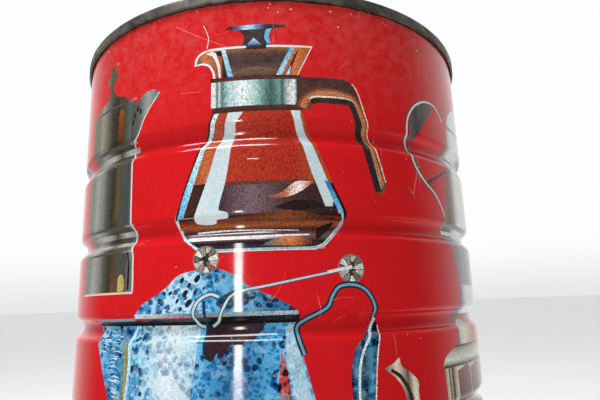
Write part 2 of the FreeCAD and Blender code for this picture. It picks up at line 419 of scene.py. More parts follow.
def draw_carafe_foot_and_groove_highlights(at):
    """The foot of the glass, with reflections in the coffee, and two painted highlights where the groove
    crosses it.
    """
    foot = curve((-24, 107.5), (-24.3, 105.6), (-23.2, 103.8)) + [(-18.6, 100.3), (-16.4, 99.9),
        (8.2, 99.9), (10, 100.5)] + curve((14.6, 104.8), (15.5, 106.4), (15, 107.6))
    at.add(foot, upward((100, (60, 44, 46)), (101.2, (34, 24, 28)), (102.6, (110, 82, 84)),
        (104.2, (70, 38, 36)), (105.4, (160, 88, 48)), (106.4, (120, 56, 30)), (107.4, (40, 22, 20))))
    at.add(curve((-13, 107.5), (-4, 107.9), (4, 108.3), (11, 107), (15, 106.2), (6, 106.2), (-6, 106.4)),
        across((-12, (38, 20, 20)), (2, (128, 66, 34)), (13, (60, 32, 26))))
    at.add(curve((-19.6, 108.2), (-19.7, 106.5), (-17, 105.9), (-14.8, 106.1), (-14.2, 106.9),
        (-11.7, 107.1), (-11.5, 108.2), (-13.5, 108.9)), GLASS, PLAIN)
    # painted highlights: the groove's shine along its lower shoulder, drawn as two pale lines
    at.add(stroke([(-19.4, 104.1), (-10, 104.3), (5, 103.9)], 0.5, 0.2), WHITE)
    at.add(stroke([(-21.4, 102.6), (-8, 102.5), (7.4, 102.8)], 0.9, 0.4), (226, 224, 230))
    at.add(curve((-4, 100.4), (1, 102.4), (5.6, 102.2), (9.4, 101), (5, 100.2)),
        across((-3, TEAL), (3, AMBER), (8, UMBER)))
    at.add(curve((9, 101.6), (13.6, 105.6), (9.6, 104.4), closed=True), (40, 26, 28))
    at.add(stroke([(-23.9, 105), (-22.6, 103), (-18.4, 100.1), (-16.6, 99.7)], 0.5), ICE)
    at.add(stroke([(-17, 99.7), (8.2, 99.7), (10.4, 100.4), (15.2, 104.9), (15.9, 106.9)], 0.5),
        (150, 176, 190))


def draw_carafe_band(at):
    """The brushed steel band round the neck, between two dark rings."""
    at.add(box(-15.8, 140.4, 6.4, 141.8), upward((140.6, (86, 48, 36)), (141.6, UMBER)))
    at.add(box(-15.2, 132.6, 6.6, 134.4), upward((132.6, UMBER), (134.2, (78, 46, 40))))
    at.add(box(-15.6, 134.1, 5.5, 140.7), across((-15.5, WHITE), (-14.6, (206, 216, 214)),
        (-14.1, (52, 76, 76)), (-13.5, (190, 204, 202)), (-12.9, (62, 104, 104)), (-11.4, (160, 192, 192)),
        (-8, (212, 226, 224)), (-5.4, (186, 208, 204)), (-3.4, (112, 152, 148)), (-0.8, (48, 86, 80)),
        (1, (104, 146, 138)), (1.9, (50, 88, 84)), (3.3, (186, 198, 194)), (4.8, WHITE),
        (5.3, (104, 114, 112))), BRUSHED)


def draw_carafe_handle(at):
    """The angled brown handle, with its glow and edge lines."""
    grip = [(5.4, 141.4)] + curve((16.8, 141.5), (19.2, 140.8), (20.9, 138)) + [(27.4, 116)]
    grip += curve((27.6, 114.4), (26.4, 112.6), (24.9, 112.5)) + [(19.8, 131.6)]
    grip += curve((19.2, 133.8), (17.8, 134.7)) + [(10.4, 134.7)] + curve((8.7, 134.1), (7.4, 133),
        (5.4, 132.8))
    at.add(grip, upward((113, (120, 74, 52)), (134, (88, 52, 40)), (138.6, (74, 46, 40)),
        (141.4, (58, 44, 42))))
    glow = [(6.6, 133.4), (7.6, 135.4), (10.4, 137.1), (14, 137.5), (18, 136.9), (20.3, 135.2),
        (22.2, 130.6), (24.4, 122.6), (26.6, 114.6)]
    for width, end_width, shade in ((3.8, 2.0, (90, 54, 42)), (2.8, 1.7, (118, 68, 48)),
            (2.0, 1.3, (150, 88, 58)), (1.2, 0.9, (186, 118, 80))):
        at.add(stroke(glow, width, end_width), shade)
    at.add(stroke([(8.4, 135.8), (10.6, 136.4), (18, 136.3), (20.2, 134.2), (23, 124.4), (26, 114)], 0.5,
        0.45), (222, 206, 186))
    at.add(stroke([(8.7, 134.9), (10.4, 135.4), (18, 135.5), (19.7, 133.8), (22, 126), (25.3, 113.2)], 1.1,
        1.9), (44, 38, 38))
    at.add(stroke([(19.6, 140.6), (21.2, 138), (24.4, 127), (27.6, 115.8)], 0.35), (222, 196, 170))


def draw_carafe(at):
    """A glass coffee server with a banded neck, half full."""
    draw_carafe_lid(at)
    draw_carafe_glass(at)
    draw_carafe_foot_and_groove_highlights(at)
    draw_carafe_band(at)
    draw_carafe_handle(at)


def draw_enamel_body(at):
    """The speckled body of the boiler and its streaked spout."""
    left_side = curve((-36.6, 84), (-37.2, 76), (-38.4, 66), (-41.2, 52), (-44, 40), (-43, 36))
    body = left_side + [(13, 36)] + curve((14.4, 40), (11, 52), (7.6, 66), (5, 76), (3.4, 84))
    # spout wedge beside the body, streaked
    at.add([(-52.4, 84.2), (-36, 84.2), (-38.6, 62), (-41.4, 60.6)], across((-52, ICE), (-46, SKY),
        (-42, BLUE), (-37, SKY)), ENAMEL)
    rng = random.Random(5)
    for _ in range(100):
        z = rng.uniform(66, 83)
        u = rng.uniform(-52 + (84 - z) * 0.55, -42)
        length = rng.uniform(1.4, 3.4)
        line = [(u, z), (u + length / 2, z + rng.uniform(-0.2, 0.2)),
            (u + length, z + rng.uniform(-0.6, 0.1))]
        at.add(stroke(line, 0.08, 0.04, middle=0.2), rng.choice((ICE, ICE, SKY, WHITE, BLUE)), PLAIN)
    at.add(curve((-39, 80), (-39.2, 72), (-40.4, 62)) + curve((-38, 62), (-37, 70), (-36.8, 80)),
        across((-40, OLIVE), (-38.4, (150, 148, 104)), (-37, (84, 80, 56))))
    at.add(body, across((-40, SKY), (-36, (124, 188, 216)), (-32, ICE), (-26, (206, 220, 228)), (-21, ICE),
        (-18, SKY), (-14, (60, 132, 176)), (-9, (50, 104, 144)), (-5, (66, 140, 182)), (0, SKY), (3, ICE),
        (9, SKY)), ENAMEL)
    at.add(curve((-31, 83.6), (-24, 83.9), (-19, 83.6), (-18.6, 78), (-20, 68), (-24, 50), (-31, 50),
        (-30.4, 70), closed=True), across((-31, ICE), (-26, (214, 224, 230)), (-19, ICE)), PALE_ENAMEL)
    at.add([(-16.8, 83.7), (-3, 83.6)] + curve((-4.4, 81.4), (-6, 79.6), (-7.4, 80), (-8.4, 78.8),
        (-10, 79.4), (-11.4, 78.4), (-12.6, 76.6), (-13.8, 77.4), (-15, 75.8), (-16.8, 76.4)),
        across((-16.8, (48, 34, 46)), (-13, (54, 32, 38)), (-8, (66, 40, 46)), (-3, (50, 50, 70))))
    at.add([(0.2, 77.6), (1.4, 74), (2.4, 66), (4.4, 50), (3, 50), (0.8, 64), (-0.6, 70)], (196, 66, 60),
        ENAMEL)
    at.add([(1.4, 82.6), (3.2, 82.6), (6.4, 68), (10.6, 46), (7, 46), (3.6, 66), (1.2, 76)], ICE,
        THIN_ENAMEL)
    at.add(stroke([(-35.2, 84.2), (-37, 81.4), (-37, 74), (-38.2, 66)], 1.1, 0.8), ICE)
    at.add(stroke([(-44, 39.6), (-41, 36.6), (-15, 35.6), (12, 36.6), (14.4, 39.4)], 1.2), NAVY)


def draw_enamel_lid(at):
    """The domed lid, with its dark rim and its knob."""
    lid = curve((-35.8, 85.6), (-33.6, 88.2), (-27.4, 91.4), (-23.6, 94.4), (-20, 95.4))
    lid += curve((-13.2, 95.5), (-10.2, 94.2), (-6, 91.2), (-1, 89), (3.4, 86.4), (3.7, 85.2))
    at.add(lid, across((-35, SKY), (-27, ICE), (-20, ICE), (-15, SKY), (-11, (84, 146, 180)),
        (-7, (96, 156, 188)), (-2, (52, 110, 148)), (3, (60, 118, 152))), ENAMEL)
    at.add(curve((-14, 88.4), (-11, 90.4), (-8, 90.6), (-6, 88.6), (-9, 87), (-13, 87), closed=True),
        (40, 66, 84), ENAMEL)
    for u, z, size in ((-22.4, 93.4, 0.9), (-18.6, 93.6, 1.2), (-20.6, 92.2, 0.8), (-25.4, 90.6, 0.7),
            (-21.6, 90.4, 1.1), (-23.6, 88.8, 0.7), (-20.8, 88.2, 1.2), (-26.6, 87.4, 0.5),
            (-19, 90.8, 0.8), (-28.4, 89.2, 0.4), (-22.6, 87, 0.6), (-17, 91.4, 0.5)):
        at.add(oval(u, z, 0.85 * size, 0.5 * size, 9, 1.0), (24, 34, 48), PLAIN)
    at.add([(-52.6, 83.4), (4.6, 83.4), (4.4, 85.4), (-52, 84.4)], upward((83.5, BLACK), (85, BLACK)))
    at.add([(-36, 85.1), (4.2, 85.1), (4, 86), (-35.8, 86.1)], across((-35, (196, 206, 208)),
        (-20, (110, 128, 136)), (3, (168, 180, 184))))
    at.add(stroke([(-52.4, 84.6), (-36, 84.9)], 0.6, smooth=False), (120, 150, 160))
    draw_ball(at, -16.6, 97.7, 3.2)


def draw_bail(at):
    """The wire bail, hooked into its ear, with its turned grip."""
    at.add(stroke([(-17, 88.6), (-16.8, 84), (-16.9, 77.2)], 0.8, 0.5), NAVY)
    for shade, width in (((52, 62, 70), 1.1), ((180, 202, 210), 0.62)):
        at.add(stroke([(-13.4, 89.4), (-15.6, 90), (-18.4, 88.6), (-19.6, 86), (-18.8, 83.6),
            (-17.2, 82.9)], width), shade, PLAIN)
        at.add(stroke([(-15.4, 83), (-13.8, 84.2), (-12.4, 87), (-10.8, 89.4), (-8, 90.6), (-2, 91.6),
            (8, 93.4), (17, 95)], width * 0.9, width * 0.7), shade, PLAIN)
    draw_ball(at, 16.7, 94.8, 3.3)
    at.add(stroke([(11, 94.1), (17, 95.2)], 0.6, 0.9), (210, 214, 214), PLAIN)


def draw_side_handle(at):
    """A loop of wire with a spindle-shaped grip."""
    for shade, width in (((34, 40, 48), 1.5), ((104, 156, 182), 0.6)):
        at.add(stroke([(5.2, 76.6), (4, 80.4), (4.4, 83), (10.4, 86.2), (11.8, 88.6), (13.6, 90.8),
            (17, 91.2), (20, 90), (22, 87), (22.4, 83)], width), shade, PLAIN)
        at.add(stroke([(18, 55), (15.6, 50.6), (11, 49)], width), shade, PLAIN)
    spindle = curve((22.8, 84), (20, 80.6), (17, 77.6), (15.6, 73), (15.6, 66), (16.8, 59), (17.8, 54))
    spindle += curve((19.2, 54), (20.4, 60), (20.9, 68), (22, 76), (23.4, 82))
    at.add(spindle, across((15.6, NAVY), (16.8, (64, 128, 160)), (18.6, (36, 62, 78)),
        (20.4, (80, 148, 178)), (22.6, NAVY)), ENAMEL)
    at.add(stroke([(22.8, 83.6), (20.6, 80), (18, 75), (17.2, 68), (17.6, 60)], 0.7, 0.5), WHITE)
    at.add(stroke([(23.6, 82), (22.2, 76), (21.2, 68), (20.6, 60)], 0.3), WHITE)


def draw_enamel_pot(at):
    """A speckled enamel coffee boiler with a bail, a side handle and a domed lid."""
    draw_enamel_body(at)
    draw_enamel_lid(at)
    draw_bail(at)
    draw_side_handle(at)


def draw_ball(at, u, z, radius):
    """A turned knob seen end on, with its flutes."""
    at.add(oval(u, z, radius), (120, 116, 110), PLAIN)
    at.add(oval(u, z, radius * 0.93), (52, 42, 42))
    flutes = 11
    for i in range(flutes):
        angle = 2 * math.pi * i / flutes + 0.2
        inner = turned(u, z, radius * (0.2, 0.34, 0.48)[i % 3], 0, angle)
        outer = turned(u, z, radius * 0.9, 0, angle)
        shade = ((204, 202, 194), (112, 96, 86), (172, 170, 162), (140, 130, 120))[i % 4]
        at.add(stroke([inner, outer], 0.5, 1.5, smooth=False), shade)
    at.add(oval(u - 0.1 * radius, z + 0.1 * radius, radius * 0.24, radius * 0.18, 10), (46, 38, 38))


def draw_percolator(at):
    """A tall pewter pot with turned mouldings, a lip spout and a spear finial."""
    body = [(-62, 91.4), (-36.9, 91.2), (-37.1, 99.6), (-37.9, 103), (-38.3, 108), (-38.8, 124.6),
        (-40.2, 127), (-39.8, 130.2), (-40, 141.4), (-60.4, 141.4), (-61, 130), (-62.2, 127), (-61.6, 108),
        (-62.6, 105)]
    metal = across((-62, (92, 90, 76)), (-59.4, (98, 94, 78)), (-56.4, (112, 108, 88)),
        (-54.4, (142, 138, 122)), (-51, (98, 96, 82)), (-48.6, (54, 54, 44)), (-46.4, (40, 40, 32)),
        (-43, (62, 58, 46)), (-41.4, (74, 78, 76)), (-38.4, (104, 108, 106)))
    lower = across((-62, (106, 106, 98)), (-58, (116, 116, 108)), (-55.4, (150, 152, 144)),
        (-52, (124, 126, 118)), (-49.4, (78, 78, 68)), (-46.8, (50, 50, 42)), (-44.4, (76, 62, 42)),
        (-42.6, (72, 74, 68)), (-40, (66, 70, 70)), (-37, (110, 114, 112)))
    at.add(curve((-49.9, 155), (-48.6, 152.6), (-47, 150.4), (-48.6, 148.6), (-49.1, 147))
        + [(-48.4, 145.6), (-46.4, 144), (-53, 144), (-51, 145.6)]
        + curve((-50.6, 147), (-51.6, 148.6), (-52.6, 150.2), (-51, 152.6)),
        across((-52.6, (112, 112, 92)), (-50, OLIVE), (-47, (62, 66, 52))), SOFT)
    at.add(curve((-60.6, 140.6), (-58.4, 142.6), (-53, 144), (-48, 144.2), (-43.4, 143), (-40, 140.6)),
        metal, SOFT)
    at.add(curve((-40.6, 141.2), (-38.6, 139.9), (-35.6, 141.6), (-32.6, 142.2), (-30.4, 141.2))
        + curve((-30.4, 139.6), (-32.6, 138.2), (-35.2, 134.6), (-37.4, 130.6), (-39.6, 129.4),
        (-40.8, 127)), across((-40, (66, 66, 58)), (-37, (84, 88, 84)), (-34, (138, 146, 140)),
        (-31, (96, 104, 100))), SOFT)
    for u, z in ((-38.6, 136.4), (-37.6, 138), (-39.2, 134.6), (-36.6, 137.2)):
        at.add(oval(u, z, 0.5, 0.9, 8), (34, 34, 34))
    at.add(body, lower, SOFT)
    at.add(box(-61, 130, -40, 141.4), metal, SOFT)
    for outline in (curve((-45.6, 130.6), (-45.4, 138.4), (-44.4, 139.6), (-43.2, 138), (-43.4, 130.6)),
            curve((-45.8, 91.6), (-45.6, 96.4), (-44.6, 98), (-43.6, 96), (-43.6, 91.6))):
        at.add(outline, upward((90, (120, 70, 40)), (97, (84, 60, 40)), (131, (88, 46, 22)),
            (138, (130, 66, 26))))
    at.add(stroke([(-44.4, 124), (-44.2, 110)], 1.2, 1.8), (92, 76, 46))
    for z, height, shade in ((127.4, 1.5, (196, 194, 184)), (129.4, 0.7, (78, 76, 66)),
            (125.2, 0.5, (92, 90, 80)), (105.6, 1.3, (190, 188, 178)), (107.6, 0.6, (84, 82, 72)),
            (103, 1.0, (176, 174, 164)), (101.2, 0.5, (72, 70, 60)), (141.2, 0.5, (66, 64, 54))):
        right = -38.2 if z > 120 else -37.6
        at.add(box(-62.2 if z < 140 else -60.6, z - height / 2, right, z + height / 2),
            across((-62, (110, 108, 96)), (-54, shade), (-50, shade), (-46, (84, 80, 66)), (-42, shade),
            (-38, (150, 150, 144))), SOFT)
    at.add(stroke([(-30.3, 141), (-32.6, 138.3), (-35.2, 134.8), (-37.2, 130.8), (-39.4, 129.2),
        (-40.2, 127)], 0.35), (196, 200, 196), PLAIN)
    at.add(stroke([(-40.4, 126.8), (-39, 124.8), (-38.5, 108), (-37.8, 102.6), (-37.1, 99.6),
        (-36.9, 91.4)], 0.5, smooth=False), (206, 206, 198), PLAIN)
    at.add(stroke([(-39.2, 101), (-38.6, 98), (-38.6, 92)], 0.8), (38, 36, 34))
    at.add(curve((-42.6, 91.6), (-42.4, 95), (-40.8, 95.6), (-40, 93.6), (-40.2, 91.6)), GOLD)
    at.add(stroke([(-62.2, 91.3), (-36.8, 91.2)], 0.5, smooth=False), (206, 198, 168), PLAIN)


def draw_tall_pot(at):
    """A silvered pot with a loop handle, drawn with its handle to the left."""
    at.add(curve((49.4, 140.6), (45, 140.6), (40.8, 138.4), (38.2, 135), (37.2, 131.4), (37.8, 128.4))
        + [(39, 128.6)], across((37, (104, 100, 98)), (40, (70, 64, 64)), (48, (96, 92, 92))), PLAIN)
    at.add(stroke([(42.8, 117.4), (53.6, 122.4)], 0.9, 0.7), (62, 52, 52))
    at.add(stroke([(39, 127.6), (38.9, 124), (40.4, 120.6), (42.6, 118)], 0.9, 1.3), (140, 82, 60))
    for shade, width in (((46, 40, 40), 1.3), ((206, 204, 198), 0.7)):
        at.add(stroke([(54.6, 137.4), (50.4, 140.8), (45.4, 141), (40.6, 138.8), (37.4, 135.2),
            (36.2, 131.2), (36.7, 128.8), (37.3, 127), (37.3, 124.6), (38.6, 121.2), (42, 117.6), (46, 115),
            (48.8, 111.8), (50.6, 108.4)], width), shade, PLAIN)
    metal = across((50, (150, 120, 108)), (53, (110, 62, 60)), (56.4, (134, 104, 100)),
        (58.4, (196, 196, 190)), (61, (232, 234, 228)), (68, (214, 216, 214)), (73, (150, 148, 152)),
        (80, (72, 72, 78)), (84, (96, 90, 88)), (88, (176, 176, 180)), (95, (232, 232, 226)),
        (99, (120, 114, 112)))
    right = [(92.6, 137), (96, 127), (98.6, 115), (100.4, 107), (98, 102), (95.6, 97), (92, 90)]
    left = [(56, 90), (54, 97), (51.8, 103), (49.8, 107), (51.8, 115), (54.4, 127), (57.8, 137)]
    at.add(curve(*right) + curve(*left), metal, SOFT)
    at.add(curve((57.4, 136.6), (60, 141), (67, 145), (75, 146.4), (83, 145), (90, 141), (93, 136.6)),
        metal, SOFT)
    at.add(curve((73.6, 146), (72.4, 149), (75, 152.4), (77.6, 149), (76.4, 146)), metal, SOFT)
    at.add(curve((96, 126), (104, 131), (108.6, 139), (112.6, 141), (110.6, 137), (107.4, 127),
        (98.6, 114)), across((96, STEEL), (104, WHITE), (112, STEEL)), SOFT)
    at.add([(51.4, 104), (98.4, 104), (95.4, 97), (92.6, 91), (57, 91), (54.4, 97)],
        across((51, (150, 110, 104)), (55, (126, 112, 116)), (60, (140, 138, 146)), (72, (112, 110, 118)),
        (86, (70, 68, 74)), (96, (170, 168, 172))), SOFT)
    for z, half, shade in ((136.8, 17.6, (112, 108, 108)), (127.4, 20.2, (150, 148, 146)),
                           (107, 25.2, (120, 112, 110)), (105, 24.2, (226, 226, 222))):
        at.add(box(75 - half, z - 0.5, 75 + half, z + 0.5), shade, SOFT)
    at.add([(56.6, 90.6), (54.8, 87.6), (51.6, 83), (98.4, 83), (95.2, 87.6), (93.4, 90.6)], metal, SOFT)
    at.add(stroke([(51.4, 83), (98.6, 83)], 0.7, smooth=False), (66, 60, 58))


def draw_carved_pot(at):
    """A small cream and silver pot with a panelled belly and a scrolled spout."""
    shell = across((42.6, (96, 88, 76)), (44.6, CREAM), (46.4, (70, 60, 52)), (48.6, (206, 198, 170)),
        (52, (230, 224, 204)), (58, (196, 188, 164)), (63, (226, 220, 204)), (67, (150, 140, 120)),
        (72, (104, 94, 80)))
    at.add(curve((23.6, 72.6), (26.2, 73.6), (27.8, 74.6), (28.4, 72.8), (30.8, 71.2), (33, 69),
        (33, 65.6), (35, 56), (43, 47)) + curve((44, 38), (35, 42), (31, 50), (29.8, 62), (28.6, 67.6),
        (26.4, 70.6)), across((24, (120, 108, 84)), (27, CREAM), (30, (96, 86, 70)), (32, (230, 222, 198)),
        (36, (120, 110, 92)), (42, CREAM)), SOFT)
    at.add(stroke([(25.4, 72.2), (28.2, 70.2), (30.6, 66), (31.8, 58), (35, 50)], 0.8, 1.2), (52, 44, 38))
    for shade, width in (((40, 34, 32), 2.4), (CREAM, 0.7)):
        at.add(stroke([(70, 64), (78, 67.6), (82, 60), (78, 48), (70, 42)], width), shade)
    at.add(curve((42.8, 71.6), (43.8, 60), (44.6, 50), (47, 38), (51, 31), (64, 31), (68, 38), (70.6, 50),
        (71.2, 60), (72, 71.6)), shell, SOFT)
    for u in (49.2, 57.8):
        at.add(curve((u, 69.6), (u + 7.8, 69.6), (u + 7.4, 54), (u + 3.9, 42), (u + 0.4, 54)),
            upward((42, (84, 44, 32)), (54, (150, 84, 54)), (64, (96, 42, 34)), (69.6, (136, 70, 56))))
    for u in (44.8, 46.6, 67.6, 69.4):
        at.add(stroke([(u, 70.6), (u + 0.6, 56), (u + 1.6, 40)], 0.6, 0.4), (58, 50, 44))
    at.add([(42.4, 71.2), (43.8, 73.2)] + curve((46, 74.4), (51, 75.6), (63, 75.6), (69, 74.4))
        + [(71.4, 73.2), (73, 71.2)], upward((71.2, (120, 116, 100)), (72.4, (222, 224, 208)),
        (74, (190, 188, 168)), (75.6, (120, 112, 92))), SOFT)
    at.add(curve((51.4, 75.4), (51.6, 78), (53, 80.6), (57, 82), (61, 80.8), (62.8, 78), (63, 75.4)),
        across((51.4, (60, 52, 44)), (53, (206, 208, 196)), (56, (232, 226, 200)), (59.6, (200, 180, 130)),
        (63, (150, 120, 90))), SOFT)
    for z, half in ((75.5, 9), (71, 14.8), (31.4, 8)):
        at.add(box(57.6 - half, z - 0.3, 57.6 + half, z + 0.3), (64, 56, 46), SOFT)


def draw_mug(at):
    """A small enamel mug with a dark lip."""
    at.add(stroke([(12, 22), (20, 23.6), (22, 15), (17, 8), (11, 8)], 2.6, 2), (34, 44, 60))
    at.add(stroke([(12, 22), (20, 23), (21.4, 15), (17, 8.6), (11, 8.6)], 0.8), ICE)
    at.add([(-13, 27), (13, 27), (11.4, 2)] + curve((10.6, 0.6), (0, -0.4), (-10.6, 0.6)) + [(-11.4, 2)],
        across((-13, SKY), (-8, ICE), (-4, WHITE), (2, SKY), (8, BLUE), (12, NAVY)), ENAMEL)
    at.add(oval(0, 27, 13.2, 2.4, 28), BLACK)
    at.add(oval(0, 27, 12.2, 1.7, 28), across((-12, (70, 44, 36)), (0, (120, 76, 54)), (12, UMBER)))


def draw_print():
    """The whole label: the front as it shows, and the same pots again round the rest of the can."""
    draw_tall_pot(Place(u=-37, z=3, mirrored=True, size=0.94))
    front = Place()
    draw_percolator(front)
    draw_tall_pot(front)
    draw_carafe(front)
    draw_enamel_pot(front)
    draw_carved_pot(front)
    draw_carafe(Place(u=160))
    draw_enamel_pot(Place(u=167))
    draw_carafe(Place(u=-168))
    draw_enamel_pot(Place(u=-134))
    draw_mug(Place(u=-62, z=34))
    draw_mug(Place(u=-86, z=7, mirrored=True))
    draw_mug(Place(u=22, z=5))


def draw_wear_and_seam_shadow(rng):
    """Scratches through the varnish, pale chips along the seams and beads, small pinholes, and a painted
    shadow line under the top seam.
    """
    tones = ((206, 178, 168), (168, 128, 118), (96, 74, 66), (222, 196, 160), (186, 60, 56))
    body = Place()
    # a painted shadow: the ragged dark line in the corner where the print runs under the top seam
    edge = CAN_HEIGHT - SEAM_HEIGHT
    steps = 330
    lower = [(HALF_ROUND * (2 * i / steps - 1), edge - rng.uniform(0.02, 0.3)) for i in range(steps + 1)]
    body.add(lower + [(HALF_ROUND, edge + 1), (-HALF_ROUND, edge + 1)], (24, 12, 12), PLAIN)
    # the scratches that show at the front
    for points, width, end_width, colour in (
            ([(-25.6, 158), (-19, 153.8), (-11, 149.6)], 0.16, 0.1, (236, 120, 112)),
            ([(-17.8, 156.8), (-16.9, 154.6), (-16.4, 152.6), (-16.8, 150.2)], 0.16, 0.22, (226, 214, 210)),
            ([(-24, 139.2), (-18.4, 138.8)], 0.12, 0.12, (230, 100, 92)),
            ([(-6.8, 120.8), (-4, 120.7)], 0.2, 0.2, WHITE)):
        body.add(stroke(points, width, end_width, smooth=len(points) > 2), colour, PLAIN)
    # chips: near the seams, on the beads' shoulders, then all over
    for low, high, count in ((159.6, 161.8, 110), (154, 161, 70), (3.4, 8, 70)):
        for _ in range(count):
            u, z = rng.uniform(-WEAR_REACH, WEAR_REACH), rng.uniform(low, high)
            chip(body, rng, u, z, rng.uniform(0.06, 0.3), rng.choice(tones))
    for _ in range(150):
        centre = rng.choice(BEAD_CENTRES)
        z = centre + rng.choice((-1, 1)) * rng.gauss(3.9, 0.8)
        chip(body, rng, rng.uniform(-WEAR_REACH, WEAR_REACH), z, rng.uniform(0.05, 0.2), rng.choice(tones))
    for _ in range(110):
        u, z = rng.uniform(-WEAR_REACH, WEAR_REACH), rng.uniform(6, 158)
        chip(body, rng, u, z, rng.uniform(0.05, 0.17), (196, 150, 142))
    # fine scratches, a little bowed
    for _ in range(46):
        u, z = rng.uniform(-192, 192), rng.uniform(8, 156)
        heading = rng.gauss(0.5, 0.9)
        length = rng.uniform(2, 9)
        bow = rng.uniform(-0.6, 0.6)
        line = [(u, z), turned(u, z, length / 2, bow, heading), turned(u, z, length, 0, heading)]
        body.add(stroke(line, 0.1, 0.05), (228, 96, 90), PLAIN)


def chip(at, rng, u, z, size, colour):
    """A ragged speck where the print has flaked."""
    sides = rng.randint(5, 7)
    stretch = rng.uniform(0.6, 1.8)
    turn = rng.uniform(0, math.pi)
    outline = []
    for i in range(sides):
        reach = size * rng.uniform(0.6, 1.3)
        angle = 2 * math.pi * i / sides
        outline.append(turned(u, z, reach * stretch * math.cos(angle), reach * math.sin(angle), turn))
    at.add(outline, colour, BARE)


# ---- meshing the print -------------------------------------------------------------------------
def inside(outline, u, z):
    """Which of the points lie inside an outline (even-odd rule)."""
    result = np.zeros(u.shape, bool)
    for (u0, z0), (u1, z1) in zip(outline, outline[1:] + outline[:1]):
        if z0 == z1:
            continue
        crosses = (z0 > z) != (z1 > z)
        result ^= crosses & (u < (u1 - u0) * (z - z0) / (z1 - z0) + u0)
    return result


MERGE_DISTANCE = 1e-4
SLIVER = 1e-7


def print_triangles():
    """Triangles that keep every row of the wall and every outline of the print as edges."""
    heights = wall_heights(FILM_LOW, CAN_HEIGHT - FILM_LOW)
    edge = HALF_ROUND - FILM_SLIT / 2
    columns = np.linspace(-edge, edge, ROUND_STEPS + 1)
    points = [Vector((u, z)) for z in heights for u in columns]
    edges = []
    for row in range(len(heights)):
        start = row * len(columns)
        edges += [(start + i, start + i + 1) for i in range(ROUND_STEPS)]

    def add_line(ends, closed=False):
        """Keep a line's edges, cut to short lengths round the can so that they stay on its curve."""
        if closed:
            ends = list(ends) + [ends[0]]
        for (u0, z0), (u1, z1) in zip(ends, ends[1:]):
            parts = max(1, math.ceil(abs(u1 - u0) / ROUND_STEP))
            first = len(points)
            for i in range(parts + 1):
                points.append(Vector((u0 + (u1 - u0) * i / parts, z0 + (z1 - z0) * i / parts)))
            edges.extend((first + i, first + i + 1) for i in range(parts))

    for side in (-1, 1):
        add_line([(side * (HALF_ROUND - MARGIN), heights[0]), (side * (HALF_ROUND - MARGIN), heights[-1])])
    for outline, _, _, cuts in layers:
        add_line(outline, closed=True)
        us = [point[0] for point in outline]
        zs = [point[1] for point in outline]
        for way, place in cuts:
            if way == "u" and min(us) < place < max(us):
                add_line([(place, min(zs)), (place, max(zs))])
            if way == "z" and min(zs) < place < max(zs):
                add_line([(min(us), place), (max(us), place)])
    flat, _, faces, _, _, _ = delaunay_2d_cdt(points, edges, [], 0, MERGE_DISTANCE, False)
    flat = np.array([tuple(point) for point in flat])
    faces = np.array(faces)
    corners = flat[faces]
    a, b, c = corners[:, 0], corners[:, 1], corners[:, 2]
    area = (b[:, 0] - a[:, 0]) * (c[:, 1] - a[:, 1]) - (b[:, 1] - a[:, 1]) * (c[:, 0] - a[:, 0])
    faces = np.where(area[:, None] < 0, faces[:, ::-1], faces)
    return flat, faces[np.abs(area) > SLIVER]


def paint_faces(flat, faces):
    """The printed colour and the effects at each triangle's corners, from the topmost shape."""
    corners = flat[faces]
    middle = corners.mean(1)
    u, z = corners[..., 0], corners[..., 1]
    colour = np.broadcast_to(ink(*RED), u.shape + (3,)).copy()
    effect = np.broadcast_to(np.array(GROUND), u.shape + (3,)).copy()
    for outline, paint, amounts, _ in layers:
        shape = np.array(outline)
        low, high = shape.min(0), shape.max(0)
        near = np.nonzero(((middle > low) & (middle < high)).all(1))[0]
        covered = near[inside(outline, middle[near, 0], middle[near, 1])]
        colour[covered] = paint(u[covered], z[covered])
        effect[covered] = amounts
    bare = np.abs(middle[:, 0]) > HALF_ROUND - MARGIN
    return colour, effect, bare


def make_print(materials):
    """The printed and varnished outside of the body, with its bare margins beside the side seam."""
    flat, faces = print_triangles()
    colour, effect, bare = paint_faces(flat, faces)
    u, z = flat[:, 0], flat[:, 1]
    mesh = bpy.data.meshes.new("body_print")
    mesh.from_pydata((on_body(u, z) * MM).tolist(), [], faces.tolist())
    for material in materials:
        mesh.materials.append(material)
    mesh.polygons.foreach_set("material_index", bare.astype(np.int32))
    mesh.polygons.foreach_set("use_smooth", np.ones(len(faces), bool))
    for name, values in (("ink", colour), ("effect", effect)):
        layer = mesh.attributes.new(name, "FLOAT_VECTOR", "CORNER")
        layer.data.foreach_set("vector", values.reshape(-1).astype(np.float32))
    mesh.normals_split_custom_set_from_vertices(body_normals(u, z).tolist())
    return add_piece("body_print", mesh)


def add_piece(name, mesh):
    """Put a mesh in the scene as a piece of the can's one body."""
    piece = bpy.data.objects.new(name, mesh)
    bpy.context.scene.collection.objects.link(piece)
    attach(piece, "root")
    return piece


# ---- turned and bent sheet ---------------------------------------------------------------------
class Bend:
    """A sheet's outside in the (radius, height) half plane, as points with their left-hand normals."""

    def __init__(self, radius, height, heading):
        self.at = Vector((radius, height))
        self.heading = math.radians(heading)
        self.points = []
        self.note()

    def normal(self):
        return Vector((-math.sin(self.heading), math.cos(self.heading)))

    def note(self):
        self.points.append((self.at.copy(), self.normal()))

    def line(self, length, parts=1):
        for _ in range(parts):
            self.at += length / parts * Vector((math.cos(self.heading), math.sin(self.heading)))
            self.note()

    def arc(self, radius, turn, step=12.0):
        parts = max(2, math.ceil(abs(turn) / step))
        turn = math.radians(turn) / parts
        side = math.copysign(1, turn)
        for _ in range(parts):
            centre = self.at + side * radius * self.normal()
            self.heading += turn
            self.at = centre - side * radius * self.normal()
            self.note()

    def section(self, near, far):
        """The sheet's closed cross-section, far side first so that a lathe's faces look outwards."""
        outer = [point + near * normal for point, normal in self.points]
        inner = [point + far * normal for point, normal in self.points]
        return outer + inner[::-1]


